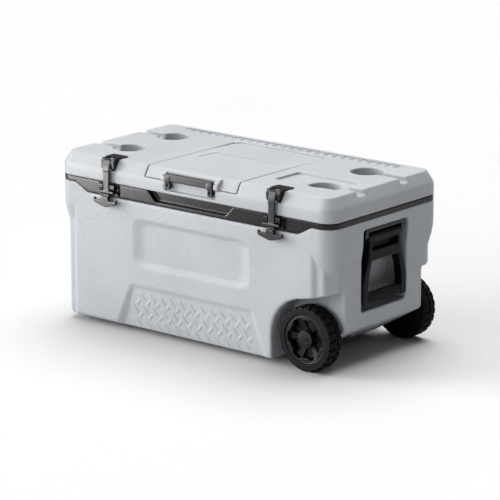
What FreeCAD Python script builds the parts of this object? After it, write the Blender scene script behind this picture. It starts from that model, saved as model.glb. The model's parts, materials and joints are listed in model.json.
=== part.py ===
import FreeCAD, Part
import math
import os

# Wheeled hard cooler. Millimetres, +Z up, +X towards the wheels, front face towards -Y.
# The origin is on the ground, under the middle of the bounding box.

V = FreeCAD.Vector

# ---- overall sizes -------------------------------------------------------------------
HALF_X = 406.5          # lid and rim, half length
HALF_Y = 201.5          # lid and rim, half depth
CORNER_R = 37.0         # rounded vertical corners of lid and rim
Z_FLOOR = 12.0          # underside of the body above the ground
Z_STEP = 264.0          # ledge above the cut corners
Z_RIM = 348.0           # parting line between body and lid
LID_GAP = 0.3           # lid underside above the rim
Z_LID_SIDE = 376.0      # top of the lid's upright side
Z_TOP = 404.0           # lid top
TOP_INSET = 17.0        # lid bevel, measured inwards
LOW_X = 401.0           # end wall below the ledge
SKIN = 6.0              # outer wall thickness
LINER = 4.0             # liner wall thickness

# ---- ice chamber ---------------------------------------------------------------------
CH_X = 325.0            # half length of the upper chamber
CH_Y = 152.0            # half depth
CH_R = 30.0
CH_Z0 = 40.0            # chamber floor
CH_SHELF_X = 205.0      # end of the deep part, in front of the wheels
CH_SHELF_Z = 211.0      # shelf over the wheels

# ---- rim trim ------------------------------------------------------------------------
TRIM_T = 6.0
TRIM_Z_LOW = 335.0      # lower edge at the corners, ends and back
TRIM_Z_FRONT = 315.0    # lower edge along the front
TRIM_X1 = 351.0
TRIM_X2 = 314.0
FLANGE_IN = 24.0        # width of the flat rim flange
FLANGE_T = 3.0
GRIP_TOP = 128.0        # finger recess, half width at the top
GRIP_LOW = 105.0
GRIP_Z0 = 324.0
GRIP_DEEP = 12.0

# ---- wheels --------------------------------------------------------------------------
WHEEL_X = 329.5
WHEEL_R = 75.0
WHEEL_W = 43.0
WHEEL_Y = 174.5         # middle of each wheel
AXLE_R = 6.0
RUN = 0.05              # running clearance
WELL_R = 92.0
WELL_Y = 143.0          # inner wall of the wheel well
WELL_Z = 187.0          # well roof at the end wall
BELLY_X = 268.0         # where the underside starts to rise
BELLY_Z = 93.0          # lower edge of the wheel-end wall

# ---- fold-down end handles -----------------------------------------------------------
REC_Y = 82.0            # recess half width
REC_Z0 = 124.0
REC_Z1 = 314.0
REC_X = 352.0           # recess floor
HAN_X = 394.0           # pivot
HAN_Z = 292.0
HAN_T = 22.0            # handle thickness
BARREL_R = 11.0
BARREL_Y = 60.0
PIN_R = 4.0
GRIP_BAR_Z0 = 139.0
GRIP_BAR_Z1 = 163.0

# ---- lid hinge -----------------------------------------------------------------------
HINGE_Y = 212.0
HINGE_Z = 353.0
KNUCKLE_R = 6.0
HINGE_PIN_R = 2.5
HINGE_X = 240.0

# ---- hatch in the lid ----------------------------------------------------------------
HATCH_X = 136.2
HATCH_HOLE_X = 137.2
HATCH_Z0 = 378.2
HATCH_SEAT_Z = 377.7
HATCH_BACK = 119.0
GROOVE_BACK = 132.5
HH_Y = 126.0            # hatch hinge axis
HH_Z = 398.5
HH_R = 5.0
HH_PIN_R = 2.0
HOLE_X = 112.0          # access hole through the lid
HOLE_Y0 = -140.0
HOLE_Y1 = 100.0
PLUG_X = 107.0
PLUG_Y0 = -134.5
PLUG_Y1 = 95.0
PLUG_Z0 = 352.0

# ---- hatch latch ---------------------------------------------------------------------
BAIL_X = 70.5
BAIL_Y = -202.0         # pivot
BAIL_Z = 391.0
BAIL_Z0 = 361.0
BAIL_LEG = 15.0
BOSS_X = 86.0

# ---- T latches -----------------------------------------------------------------------
LATCH_X = 246.5
STRAP_W = 20.0
STRAP_T = 5.0
STRAP_Y = -209.5        # middle of the hanging strap
PIVOT_Y = -199.0
PIVOT_Z = 398.0
PIVOT_R = 2.5
LUG_Z = 327.5
LUG_R = 4.5
PULL_Z0 = 297.0

# ---- cup holders and tray ------------------------------------------------------------
CUP_X = 291.0
CUP_Y = 79.0
CUP_R = 38.0
CUP_Z = 372.0
DRAIN_W = 24.0
DRAIN_Z = 392.0
TRAY = (174.0, 350.0, -111.0, -24.0)
TRAY_Z = 398.0

# ---- drain ---------------------------------------------------------------------------
SPOUT_Y = -30.0
SPOUT_Z = 47.0
SPOUT_WALL_X = 300.0
SPOUT_R = 9.0

# ---- feet ----------------------------------------------------------------------------
FOOT_X = -335.0
FOOT_Y = 118.0


def box(x0, y0, z0, x1, y1, z1):
    """Box between two corners."""
    return Part.makeBox(x1 - x0, y1 - y0, z1 - z0, V(x0, y0, z0))


def cyl(point, axis, r, length):
    """Cylinder starting at point and running along axis."""
    return Part.makeCylinder(r, length, V(*point), V(*axis))


def cyl_x(x0, x1, y, z, r):
    return cyl((x0, y, z), (1, 0, 0), r, x1 - x0)


def cyl_y(x, y0, y1, z, r):
    return cyl((x, y0, z), (0, 1, 0), r, y1 - y0)


def cyl_z(x, y, z0, z1, r):
    return cyl((x, y, z0), (0, 0, 1), r, z1 - z0)


def prism(points, direction):
    """Solid from a closed polygon of 3-D points, swept along direction."""
    pts = [V(*p) for p in points]
    pts.append(pts[0])
    face = Part.Face(Part.makePolygon(pts))
    return face.extrude(V(*direction))


def prism_x(yz, x0, x1):
    return prism([(x0, y, z) for y, z in yz], (x1 - x0, 0, 0))


def prism_y(xz, y0, y1):
    return prism([(x, y0, z) for x, z in xz], (0, y1 - y0, 0))


def prism_z(xy, z0, z1):
    return prism([(x, y, z0) for x, y in xy], (0, 0, z1 - z0))


def rbox(x0, y0, z0, x1, y1, z1, r):
    """Box with its upright edges rounded."""
    shape = box(x0, y0, z0, x1, y1, z1)
    edges = []
    for e in shape.Edges:
        a = e.Vertexes[0].Point
        b = e.Vertexes[-1].Point
        if abs(a.x - b.x) < 1e-6 and abs(a.y - b.y) < 1e-6:
            edges.append(e)
    return shape.makeFillet(r, edges)


def round_along(shape, axis, r):
    """Fillet every straight edge that runs along one axis."""
    edges = []
    for e in shape.Edges:
        d = e.Vertexes[-1].Point.sub(e.Vertexes[0].Point)
        side = [abs(d.x), abs(d.y), abs(d.z)]
        if side[axis] > 1e-6 and sum(side) - side[axis] < 1e-6:
            edges.append(e)
    return shape.makeFillet(r, edges)


def round_rect_wire(hx, hy, r, z, cx=0.0, cy=0.0):
    """Closed wire of a rounded rectangle in a level plane."""
    k = r * math.sqrt(0.5)
    parts = []
    corners = [(1, 1), (-1, 1), (-1, -1), (1, -1)]
    for i, (sx, sy) in enumerate(corners):
        ox = cx + sx * (hx - r)
        oy = cy + sy * (hy - r)
        start = V(ox + (sx * r if sx == sy else 0), oy + (0 if sx == sy else sy * r), z)
        end = V(ox + (0 if sx == sy else sx * r), oy + (sy * r if sx == sy else 0), z)
        parts.append(Part.Arc(start, V(ox + sx * k, oy + sy * k, z), end).toShape())
        nx, ny = corners[(i + 1) % 4]
        qx = cx + nx * (hx - r)
        qy = cy + ny * (hy - r)
        nxt = V(qx + (nx * r if nx == ny else 0), qy + (0 if nx == ny else ny * r), z)
        parts.append(Part.makeLine(end, nxt))
    return Part.Wire(parts)


def front_frustum(hx0, hz0, r0, hx1, hz1, r1, cz, deep):
    """Recess with sloping walls, cut into the front face."""
    outer = round_rect_wire(hx0, hz0, r0, 0.0)
    inner = round_rect_wire(hx1, hz1, r1, -deep)
    shape = Part.makeLoft([outer, inner], True, True)
    shape.rotate(V(0, 0, 0), V(1, 0, 0), 90)
    shape.translate(V(0, -HALF_Y, cz))
    return shape


def mirror_x(shape):
    return shape.mirror(V(0, 0, 0), V(1, 0, 0))


def mirror_y(shape):
    return shape.mirror(V(0, 0, 0), V(0, 1, 0))


def both_y(shape):
    return [shape, mirror_y(shape)]


def both_x(shape):
    return [shape, mirror_x(shape)]


def four(shape):
    out = both_x(shape)
    return out + [mirror_y(s) for s in out]


def join(shapes):
    """Fuse a list of solids and merge flush faces."""
    shape = shapes[0]
    if len(shapes) > 1:
        shape = shape.fuse(shapes[1:])
    return shape.removeSplitter()


def less(shape, tools):
    """Cut a list of solids away."""
    return shape.cut(tools).removeSplitter()


# ---- body ----------------------------------------------------------------------------

def lower_outline():
    """Half-length corner points of the body below the ledge, one quadrant."""
    return [(353.0, HALF_Y), (363.0, 193.5), (380.5, 193.5), (LOW_X, 160.0)]


def lower_block():
    q = lower_outline()
    pts = [(x, -y) for x, y in q]
    pts += [(x, y) for x, y in reversed(q)]
    pts += [(-x, y) for x, y in q]
    pts += [(-x, -y) for x, y in reversed(q)]
    return prism_z(pts, Z_FLOOR, Z_STEP)


def well(side, grow):
    """Space for one wheel. grow makes it larger for the hollow behind the wall."""
    inner = side * (WELL_Y - grow)
    outer = side * (HALF_Y + 20)
    y0 = min(inner, outer)
    y1 = max(inner, outer)
    arch = cyl_y(WHEEL_X, y0, y1, WHEEL_R, WELL_R + grow)
    top = WHEEL_R + WELL_R + grow
    roof = prism_y([(WHEEL_X - 37.0, top - 8.0), (440.0, WELL_Z + 9.0 + grow), (440.0, -20.0),
                    (WHEEL_X - WELL_R - grow, -20.0), (WHEEL_X - WELL_R - grow, WHEEL_R),
                    (WHEEL_X - 68.0 - grow, WHEEL_R + 60.0)], y0, y1)
    return join([arch, roof])


def belly_cut(grow):
    """Wedge below the rising underside at the wheel end."""
    slope = (BELLY_Z - Z_FLOOR) / (HALF_X - BELLY_X)
    rise = grow * math.hypot(1.0, slope)
    return prism_y([(BELLY_X - 40.0, Z_FLOOR - 40.0 * slope + rise),
                    (450.0, BELLY_Z + (450.0 - HALF_X) * slope + rise), (450.0, -60.0),
                    (BELLY_X - 40.0, -60.0)], -260, 260)


def drain_notch(grow):
    return box(SPOUT_WALL_X - grow, SPOUT_Y - 22 - grow, 0,
               380, SPOUT_Y + 22 + grow, 68 + grow)


def handle_recess(grow):
    shape = box(REC_X - grow, -REC_Y - grow, REC_Z0 - grow,
                HALF_X + 20, REC_Y + grow, REC_Z1 + grow)
    return round_along(shape, 0, 8.0 + grow)


def tread_recess():
    """Tapered foot-grip field low on the front."""
    def frame(x_low, x_top, z_top, y):
        pts = [V(-x_low, y, 5), V(x_low, y, 5), V(x_top, y, z_top), V(-x_top, y, z_top)]
        return Part.makePolygon(pts + [pts[0]])
    return Part.makeLoft([frame(233.0, 184.0, 115.0, -HALF_Y),
                          frame(207.0, 171.0, 104.0, -HALF_Y + 5.5)], True, True)


def body_outer():
    """Outside shape of the tub, solid."""
    upper = rbox(-HALF_X, -HALF_Y, Z_STEP - 0.5, HALF_X, HALF_Y, Z_RIM, CORNER_R)
    shape = lower_block().fuse(upper).removeSplitter()
    toe = prism_y([(-LOW_X - 5, 36.0), (-LOW_X, 32.0), (-380.0, Z_FLOOR), (-380.0, 0),
                   (-LOW_X - 5, 0)], -260, 260)
    hem = prism_x([(-HALF_Y - 5, 22.0), (-HALF_Y, 18.0), (-HALF_Y + 6, Z_FLOOR),
                   (-HALF_Y + 6, 0), (-HALF_Y - 5, 0)], -420, 420)
    panel = front_frustum(173.0, 56.0, 26.0, 150.0, 47.5, 18.0, 219.0, 5.5)
    tools = [toe, belly_cut(0.0), drain_notch(0.0)]
    tools += [well(s, 0.0) for s in (-1, 1)]
    tools += both_x(handle_recess(0.0))
    tools += both_y(hem) + both_y(panel) + both_y(tread_recess())
    tools.append(cyl_y(WHEEL_X, -WELL_Y - 1, WELL_Y + 1, WHEEL_R, AXLE_R + RUN))
    return less(shape, tools)


def body_core():
    """Room between outer wall and rim, filled by foam, liner and ice chamber."""
    shape = rbox(-395, -190, 18, 395, 190, Z_RIM - FLANGE_T, 45)
    toe = prism_y([(-400, 46.0), (-395, 42.0), (-372.0, 18), (-372.0, 0), (-400, 0)], -260, 260)
    tools = [toe, belly_cut(SKIN), drain_notch(SKIN)]
    tools += [well(s, SKIN) for s in (-1, 1)]
    tools += both_x(handle_recess(SKIN))
    tools.append(box(-HALF_X, -HALF_Y, TRIM_Z_FRONT - 5, HALF_X, -HALF_Y + 25, Z_RIM))
    return less(shape, tools)


def chamber(grow):
    """Ice space, or with grow the outside of its liner."""
    upper = rbox(-CH_X - grow, -CH_Y - grow, CH_SHELF_Z - grow,
                 CH_X + grow, CH_Y + grow, Z_RIM + 5, CH_R + grow)
    lower = rbox(-CH_X - grow, -CH_Y - grow, CH_Z0 - grow,
                 CH_SHELF_X + grow, CH_Y + grow, Z_RIM + 5, CH_R + grow)
    return upper.fuse(lower).removeSplitter()


def trim_band():
    """Outer band plus flat flange, with the finger recess block behind the front."""
    ring = rbox(-HALF_X, -HALF_Y, TRIM_Z_FRONT, HALF_X, HALF_Y, Z_RIM, CORNER_R)
    inner = rbox(-HALF_X + TRIM_T, -HALF_Y + TRIM_T, 300,
                 HALF_X - TRIM_T, HALF_Y - TRIM_T, Z_RIM - FLANGE_T, CORNER_R - TRIM_T)
    opening = rbox(-HALF_X + FLANGE_IN, -HALF_Y + FLANGE_IN, 300,
                   HALF_X - FLANGE_IN, HALF_Y - FLANGE_IN, 360, CORNER_R - 15)
    low = [box(-HALF_X - 1, -HALF_Y + 15, 300, HALF_X + 1, HALF_Y + 1, TRIM_Z_LOW)]
    for s in (-1, 1):
        low.append(prism_y([(s * 420, 300), (s * 420, TRIM_Z_LOW), (s * TRIM_X1, TRIM_Z_LOW),
                            (s * TRIM_X2, TRIM_Z_FRONT), (s * TRIM_X2, 300)],
                           -HALF_Y - 1, -HALF_Y + 15.5))
    shape = less(ring, [inner, opening] + low)
    block = box(-134, -HALF_Y, TRIM_Z_FRONT, 134, -HALF_Y + GRIP_DEEP + 5, Z_RIM)
    pocket = prism_y([(-GRIP_LOW, GRIP_Z0), (GRIP_LOW, GRIP_Z0), (GRIP_TOP, Z_RIM + 1),
                      (-GRIP_TOP, Z_RIM + 1)], -HALF_Y - 1, -HALF_Y + GRIP_DEEP)
    return less(join([shape, block]), [pocket])


def liner_parts():
    """Moulded liner with its flat flange."""
    flange = rbox(-HALF_X + FLANGE_IN, -HALF_Y + FLANGE_IN, Z_RIM - FLANGE_T,
                  HALF_X - FLANGE_IN, HALF_Y - FLANGE_IN, Z_RIM, CORNER_R - 15)
    wall = chamber(LINER).common(box(-400, -200, 0, 400, 200, Z_RIM))
    shape = join([flange, wall])
    hole = cyl_x(CH_SHELF_X - 20, CH_SHELF_X + 20, SPOUT_Y, SPOUT_Z, SPOUT_R)
    return less(shape, [chamber(0.0), hole])


# ---- latches -------------------------------------------------------------------------

def keeper(xc):
    """Plate with two ears; the strap's cross lug sits below the ears."""
    parts = [box(xc - 31, -HALF_Y - 3, 319, xc + 31, -HALF_Y, 346.5)]
    for s in (-1, 1):
        x0 = xc + s * 11.5
        x1 = xc + s * 24.0
        ear = box(min(x0, x1), -211.5, 333, max(x0, x1), -HALF_Y, 346.5)
        parts.append(round_along(ear, 0, 4.0))
    return join(parts)


def strap(xc):
    """Rubber strap: eye at the top, cross lug, then a pull with two wings."""
    half = STRAP_W / 2
    eye = cyl_x(xc - half, xc + half, PIVOT_Y, PIVOT_Z, 7.0)
    bridge = prism_x([(PIVOT_Y - 2, PIVOT_Z + 6.5), (PIVOT_Y - 7, PIVOT_Z + 1), (-212, 384),
                      (-212, 376), (-207, 376), (-207, 383), (PIVOT_Y - 1, PIVOT_Z - 6.5)],
                     xc - half, xc + half)
    web = box(xc - half, STRAP_Y - STRAP_T / 2, PULL_Z0 + 8, xc + half,
              STRAP_Y + STRAP_T / 2, 378)
    heel = box(xc - half, -214, PULL_Z0 + 4, xc + half, STRAP_Y + STRAP_T / 2, 312)
    lug = cyl_x(xc - 23, xc + 23, STRAP_Y, LUG_Z, LUG_R)
    wing = prism_y([(xc - 34, 306), (xc - 34, 301), (xc - 20, PULL_Z0 + 2), (xc, PULL_Z0),
                    (xc + 20, PULL_Z0 + 2), (xc + 34, 301), (xc + 34, 306), (xc + 29, 309),
                    (xc + 16, 305), (xc + half, 308), (xc - half, 308), (xc - 16, 305),
                    (xc - 29, 309)], -218, -212.5)
    bore = cyl_x(xc - 40, xc + 40, PIVOT_Y, PIVOT_Z, PIVOT_R + RUN)
    return less(join([eye, bridge, web, heel, lug, wing]), [bore])


def latch_mount(xc):
    """Bracket on the lid bevel with two ears for the strap's pin."""
    y_top = -HALF_Y + TOP_INSET
    tongue = box(xc - 24, y_top, Z_TOP, xc + 24, y_top + 28, Z_TOP + 2)
    tongue = round_along(tongue, 2, 6.0)
    parts = [tongue, box(xc - 24, y_top, Z_TOP - 2, xc + 24, y_top + 10, Z_TOP + 2)]
    for s in (-1, 1):
        x0 = xc + s * (STRAP_W / 2 + 0.4)
        x1 = xc + s * (STRAP_W / 2 + 9)
        ear = prism_x([(y_top + 4, Z_TOP + 2), (PIVOT_Y - 3, Z_TOP + 2), (PIVOT_Y - 7, PIVOT_Z),
                       (-HALF_Y - 4, 384), (-HALF_Y, 378), (y_top + 4, 400)],
                      min(x0, x1), max(x0, x1))
        parts.append(ear)
    shape = join(parts)
    bore = cyl_x(xc - 40, xc + 40, PIVOT_Y, PIVOT_Z, PIVOT_R)
    return less(shape, [lid_block(), bore])


# ---- lid -----------------------------------------------------------------------------

def lid_block():
    """Outside of the lid, solid, with the bevelled top."""
    side = rbox(-HALF_X, -HALF_Y, Z_RIM + LID_GAP, HALF_X, HALF_Y, Z_LID_SIDE, CORNER_R)
    low = round_rect_wire(HALF_X, HALF_Y, CORNER_R, Z_LID_SIDE)
    top = round_rect_wire(HALF_X - TOP_INSET, HALF_Y - TOP_INSET, CORNER_R - TOP_INSET, Z_TOP)
    bevel = Part.makeLoft([low, top], True, True)
    return side.fuse(bevel)


def cup_cut(grow):
    """One cup holder with its drain channel, at +X +Y."""
    cup = cyl_z(CUP_X, CUP_Y, CUP_Z - grow, Z_TOP + 30, CUP_R + grow)
    channel = box(CUP_X, CUP_Y - DRAIN_W / 2 - grow, DRAIN_Z - grow,
                  HALF_X + 20, CUP_Y + DRAIN_W / 2 + grow, Z_TOP + 30)
    return join([cup, channel])


def tray_cut(grow):
    x0, x1, y0, y1 = TRAY
    return rbox(x0 - grow, y0 - grow, TRAY_Z - grow, x1 + grow, y1 + grow, Z_TOP + 30, 8 + grow)


def hatch_well(grow):
    """Space taken by the hatch, its hinge groove and the hole below."""
    seat = box(-HATCH_HOLE_X - grow, -HALF_Y - 20, HATCH_SEAT_Z - grow,
               HATCH_HOLE_X + grow, GROOVE_BACK + grow, Z_TOP + 20)
    hole = box(-HOLE_X - grow, HOLE_Y0 - grow, 330, HOLE_X + grow, HOLE_Y1 + grow, Z_TOP)
    return join([seat, round_along(hole, 2, 14.0 + grow)])


def bail_pocket():
    """Finger room in the lid front under the hatch latch."""
    return box(-75, -HALF_Y - 20, 356, 75, -HALF_Y + 7.5, HATCH_SEAT_Z + 5)


def lid_core():
    """Foam space of the lid."""
    side = rbox(-396, -191, Z_RIM + LID_GAP, 396, 191, Z_LID_SIDE - 2, 28)
    low = round_rect_wire(396, 191, 28, Z_LID_SIDE - 2)
    top = round_rect_wire(382, 177, 14, Z_TOP - 5.5)
    shape = side.fuse(Part.makeLoft([low, top], True, True)).removeSplitter()
    pocket = box(-80, -HALF_Y - 20, 351, 80, -HALF_Y + 12.5, 400)
    tools = four(cup_cut(5.0)) + [tray_cut(5.0), hatch_well(5.0), pocket]
    return less(shape, tools)


def lid_outer():
    """Lid with every recess cut in."""
    tools = four(cup_cut(0.0)) + [tray_cut(0.0), hatch_well(0.0), bail_pocket()]
    shape = less(lid_block().removeSplitter(), tools)
    ears = []
    for s in (-1, 1):
        ear = box(min(s * 129, s * 137.5), HH_Y - 6.5, 392, max(s * 129, s * 137.5),
                  GROOVE_BACK + 0.5, Z_TOP - 0.5)
        ears.append(ear)
    shape = join([shape] + ears)
    return less(shape, [cyl_x(-140, 140, HH_Y, HH_Z, HH_PIN_R)])


def lid_liner():
    """Lower pan of the lid with the collar round the access hole."""
    pan = rbox(-396, -191, Z_RIM + LID_GAP, 396, 191, Z_RIM + LID_GAP + LINER, 28)
    plug = rbox(-CH_X + 4, -CH_Y + 4, Z_RIM - 6, CH_X - 4, CH_Y - 4, Z_RIM + 1, CH_R - 4)
    hollow = rbox(-CH_X + 8, -CH_Y + 8, Z_RIM - 2, CH_X - 8, CH_Y - 8, Z_RIM + LID_GAP + 0.2,
                  CH_R - 8)
    collar = box(-HOLE_X - 5, HOLE_Y0 - 5, Z_RIM - 6, HOLE_X + 5, HOLE_Y1 + 5,
                 HATCH_SEAT_Z - 5)
    collar = round_along(collar, 2, 19.0)
    hole = round_along(box(-HOLE_X, HOLE_Y0, 330, HOLE_X, HOLE_Y1, Z_TOP), 2, 14.0)
    front = box(-80, -HALF_Y, Z_RIM, 80, -HALF_Y + 12.5, 400)
    return less(join([less(pan.fuse(plug), [hollow]), collar]), [hole, front])


def gasket(x, y, r, z0, z1, width):
    """Rectangular seal ring."""
    outer = rbox(-x, -y, z0, x, y, z1, r)
    inner = rbox(-x + width, -y + width, z0 - 1, x - width, y - width, z1 + 1, r - width)
    return outer.cut(inner)


# ---- hatch ---------------------------------------------------------------------------

def hatch_outer():
    """Hatch with the latch boss and the hinge barrel."""
    cutter = box(-HATCH_X, -HALF_Y - 5, HATCH_Z0, HATCH_X, HATCH_BACK, Z_TOP + 5)
    slab = lid_block().removeSplitter().common(cutter)
    boss = prism_x([(-180, Z_TOP), (-188, Z_TOP), (-204.5, 393), (-205.5, HATCH_Z0),
                    (-180, HATCH_Z0)], -BOSS_X, BOSS_X)
    barrel = cyl_x(-127.5, 127.5, HH_Y, HH_Z, HH_R)
    arm = box(-127.5, HATCH_BACK - 1, HH_Z, 127.5, HH_Y, HH_Z + HH_R)
    pocket = box(-BAIL_X - 1, -230, 370, BAIL_X + 1, -194.4, 399.2)
    bore = cyl_x(-140, 140, HH_Y, HH_Z, HH_PIN_R + RUN)
    pin = cyl_x(-BAIL_X - 9, BAIL_X + 9, BAIL_Y, BAIL_Z, 2.0)
    notch = box(128.2, HH_Y - 10, 370, 145, HH_Y + 10, Z_TOP + 5)
    return less(join([slab, boss, barrel, arm]), [pocket, bore, pin] + both_x(notch))


def hatch_core():
    shape = box(-129, -172, HATCH_Z0, 129, 110, Z_TOP - 5)
    return round_along(shape, 2, 6.0)


def hatch_plug(inset):
    shape = box(-PLUG_X + inset, PLUG_Y0 + inset, PLUG_Z0 + inset, PLUG_X - inset,
                PLUG_Y1 - inset, HATCH_Z0 + 3)
    return round_along(shape, 2, 12.0 - inset)


def hatch_liner():
    pan = round_along(box(-129, -172, HATCH_Z0, 129, 110, HATCH_Z0 + 3), 2, 6.0)
    return less(join([pan, hatch_plug(0.0)]), [hatch_plug(3.0)])


def hatch_foam():
    upper = round_along(box(-129, -172, HATCH_Z0 + 3, 129, 110, Z_TOP - 5), 2, 6.0)
    return join([upper, hatch_plug(3.0)])


def bail():
    """Lift latch: a bar with two legs and a small lip under each keeper."""
    bar = round_along(box(-BAIL_X, -206.5, 380, BAIL_X, -198, 397.5), 0, 3.5)
    parts = [bar]
    for s in (-1, 1):
        x0 = min(s * BAIL_X, s * (BAIL_X - BAIL_LEG))
        x1 = max(s * BAIL_X, s * (BAIL_X - BAIL_LEG))
        parts.append(box(x0, -206.5, BAIL_Z0, x1, -199, 386))
        parts.append(box(x0 + 2, -200, BAIL_Z0, x1 - 2, -196, BAIL_Z0 + 3))
    bore = cyl_x(-90, 90, BAIL_Y, BAIL_Z, 2.0 + RUN)
    return less(join(parts), [bore])


# ---- handles -------------------------------------------------------------------------

def handle():
    """Trapezoid handle at the +X end, hanging from its barrel."""
    x0 = HAN_X - HAN_T / 2
    x1 = HAN_X + HAN_T / 2 - 1
    plate = prism_x([(-58, HAN_Z), (58, HAN_Z), (60, 244), (80, 190), (80, GRIP_BAR_Z0),
                     (-80, GRIP_BAR_Z0), (-80, 190), (-60, 244)], x0, x1)
    gap = prism_x([(-48, 237), (48, 237), (61, 188), (61, GRIP_BAR_Z1), (-61, GRIP_BAR_Z1),
                   (-61, 188)], x0 - 5, x1 + 5)
    window = box(x1 - 14, -48, 261, x1 + 5, 48, 279)
    back = box(x0 - 5, -48, 246, x1 - 18, 48, 279)
    grip = cyl_y(HAN_X - 0.5, -81, 81, (GRIP_BAR_Z0 + GRIP_BAR_Z1) / 2, 9.0)
    keep = box(x0 - 5, -60, GRIP_BAR_Z0 - 5, x1 + 5, 60, GRIP_BAR_Z1)
    bar = grip.common(keep)
    cut = less(plate, [gap, window, back, box(x0 - 5, -60, GRIP_BAR_Z0 - 1, x1 + 5, 60,
                                              GRIP_BAR_Z1 + 0.01)])
    barrel = cyl_y(HAN_X, -BARREL_Y, BARREL_Y, HAN_Z, BARREL_R)
    bore = cyl_y(HAN_X, -90, 90, HAN_Z, PIN_R + RUN)
    return less(join([cut, bar, barrel]), [bore])


def handle_sleeve():
    """Soft sleeve round the grip bar, between the arms."""
    x0 = HAN_X - HAN_T / 2
    x1 = HAN_X + HAN_T / 2 - 1
    block = round_along(box(x0, -60, GRIP_BAR_Z0, x1, 60, GRIP_BAR_Z1), 1, 7.0)
    return block.cut(cyl_y(HAN_X - 0.5, -81, 81, (GRIP_BAR_Z0 + GRIP_BAR_Z1) / 2, 9.0))


def handle_mount():
    """Bracket at the top of the recess with an ear at each end of the barrel."""
    parts = [box(REC_X, -72, 306, HALF_X - 1.5, 72, REC_Z1),
             box(REC_X, -72, 268, REC_X + 6, 72, REC_Z1)]
    for s in (-1, 1):
        y0 = min(s * 60.6, s * 72)
        y1 = max(s * 60.6, s * 72)
        ear = prism_y([(REC_X, 274), (HAN_X, HAN_Z - 9), (HAN_X + 9, HAN_Z), (HAN_X + 9, 308),
                       (REC_X, 308)], y0, y1)
        parts.append(ear)
    for y in (-54, -18, 18, 54):
        parts.append(box(HALF_X - 8, y - 12, REC_Z1 - 3, HALF_X - 0.5, y + 12, REC_Z1))
    return less(join(parts), [cyl_y(HAN_X, -90, 90, HAN_Z, PIN_R)])


# ---- hinge ---------------------------------------------------------------------------

def knuckle(x0, x1):
    return cyl_x(x0, x1, HINGE_Y, HINGE_Z, KNUCKLE_R)


def hinge_base(xc):
    """Hinge half on the tub: plate and two outer knuckles."""
    parts = [box(xc - 45, HALF_Y, 290, xc + 45, HALF_Y + 4, 346)]
    for a, b in ((-45, -15.4), (15.4, 45)):
        parts.append(knuckle(xc + a, xc + b))
        parts.append(prism_x([(HALF_Y, 330), (HALF_Y + 4, 326), (HINGE_Y + 5.5, 351),
                              (HINGE_Y, 354), (HALF_Y + 4, 346), (HALF_Y, 346)],
                             xc + a, xc + b))
    return less(join(parts), [cyl_x(xc - 50, xc + 50, HINGE_Y, HINGE_Z, HINGE_PIN_R)])


def hinge_leaf(xc):
    """Hinge half on the lid: plate and middle knuckle."""
    parts = [box(xc - 15, HALF_Y, 356, xc + 15, HALF_Y + 4, 375), knuckle(xc - 15, xc + 15),
             prism_x([(HALF_Y, 358), (HALF_Y, 370), (HALF_Y + 4, 370), (HINGE_Y + 4, 357),
                      (HINGE_Y, 349), (HINGE_Y - 5, 351)], xc - 15, xc + 15),
             box(xc - 40, HALF_Y, 362, xc + 40, HALF_Y + 4, 375)]
    return less(join(parts), [cyl_x(xc - 50, xc + 50, HINGE_Y, HINGE_Z, HINGE_PIN_R + RUN)])


def screw(point, axis, r, length):
    """Pan-head screw: head outside the surface, shank going in."""
    head = cyl(point, axis, r, 2.2)
    shank = cyl(point, tuple(-a for a in axis), r * 0.5, length)
    hexagon = cyl((point[0] + 1.1 * axis[0], point[1] + 1.1 * axis[1], point[2] + 1.1 * axis[2]),
                  axis, r * 0.45, 3)
    return less(join([head, shank]), [hexagon])


# ---- wheels --------------------------------------------------------------------------

def revolve_y(profile, xc, yc, zc):
    """Turn a closed (radius, y) profile about a wheel's axle line."""
    pts = [V(r, y, 0) for r, y in profile]
    face = Part.Face(Part.makePolygon(pts + [pts[0]]))
    shape = face.revolve(V(0, 0, 0), V(0, 1, 0), 360)
    shape.translate(V(xc, yc, zc))
    return shape


def tyre():
    """Tyre with cross grooves between shoulder blocks, front wheel."""
    w = WHEEL_W / 2
    shape = revolve_y([(56, -w + 1), (69, -w), (73.5, -w + 3), (WHEEL_R, -w + 7),
                       (WHEEL_R, w - 7), (73.5, w - 3), (69, w), (56, w - 1)],
                      WHEEL_X, -WHEEL_Y, WHEEL_R)
    grooves = []
    for i in range(16):
        a = math.radians(i * 22.5 + 11.25)
        for s in (-1, 1):
            b = a + s * math.radians(5.6)
            g = box(-2.5, min(s * 1.5, s * 30), 0, 2.5, max(s * 1.5, s * 30), 8)
            g.translate(V(0, 0, 71.5))
            g.rotate(V(0, 0, 0), V(0, 1, 0), math.degrees(b))
            g.translate(V(WHEEL_X, -WHEEL_Y, WHEEL_R))
            grooves.append(g)
    return less(shape, grooves)


def rim():
    """Dished rim with six spoke ribs, front wheel."""
    w = WHEEL_W / 2
    shell = revolve_y([(11, -w + 3), (20, -w + 3), (22, -w + 13), (44, -w + 13), (46, -w + 2),
                       (56, -w + 1), (56, w - 1), (50, w - 1), (50, -w + 19), (20, -w + 19),
                       (20, w), (11, w)], WHEEL_X, -WHEEL_Y, WHEEL_R)
    ribs = []
    for i in range(6):
        r = box(-5, -w + 6, 20, 5, -w + 15, 46)
        r.rotate(V(0, 0, 0), V(0, 1, 0), i * 60)
        r.translate(V(WHEEL_X, -WHEEL_Y, WHEEL_R))
        ribs.append(r)
    bore = cyl_y(WHEEL_X, -WHEEL_Y - 40, -WHEEL_Y + 40, WHEEL_R, 9.0)
    return less(join([shell] + ribs), [bore])


def bush():
    """Plain bearing pressed into the rim, front wheel."""
    w = WHEEL_W / 2
    outer = cyl_y(WHEEL_X, -WHEEL_Y - w + 5, -WHEEL_Y + w, WHEEL_R, 9.0)
    return outer.cut(cyl_y(WHEEL_X, -240, -100, WHEEL_R, AXLE_R + RUN))


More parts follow.
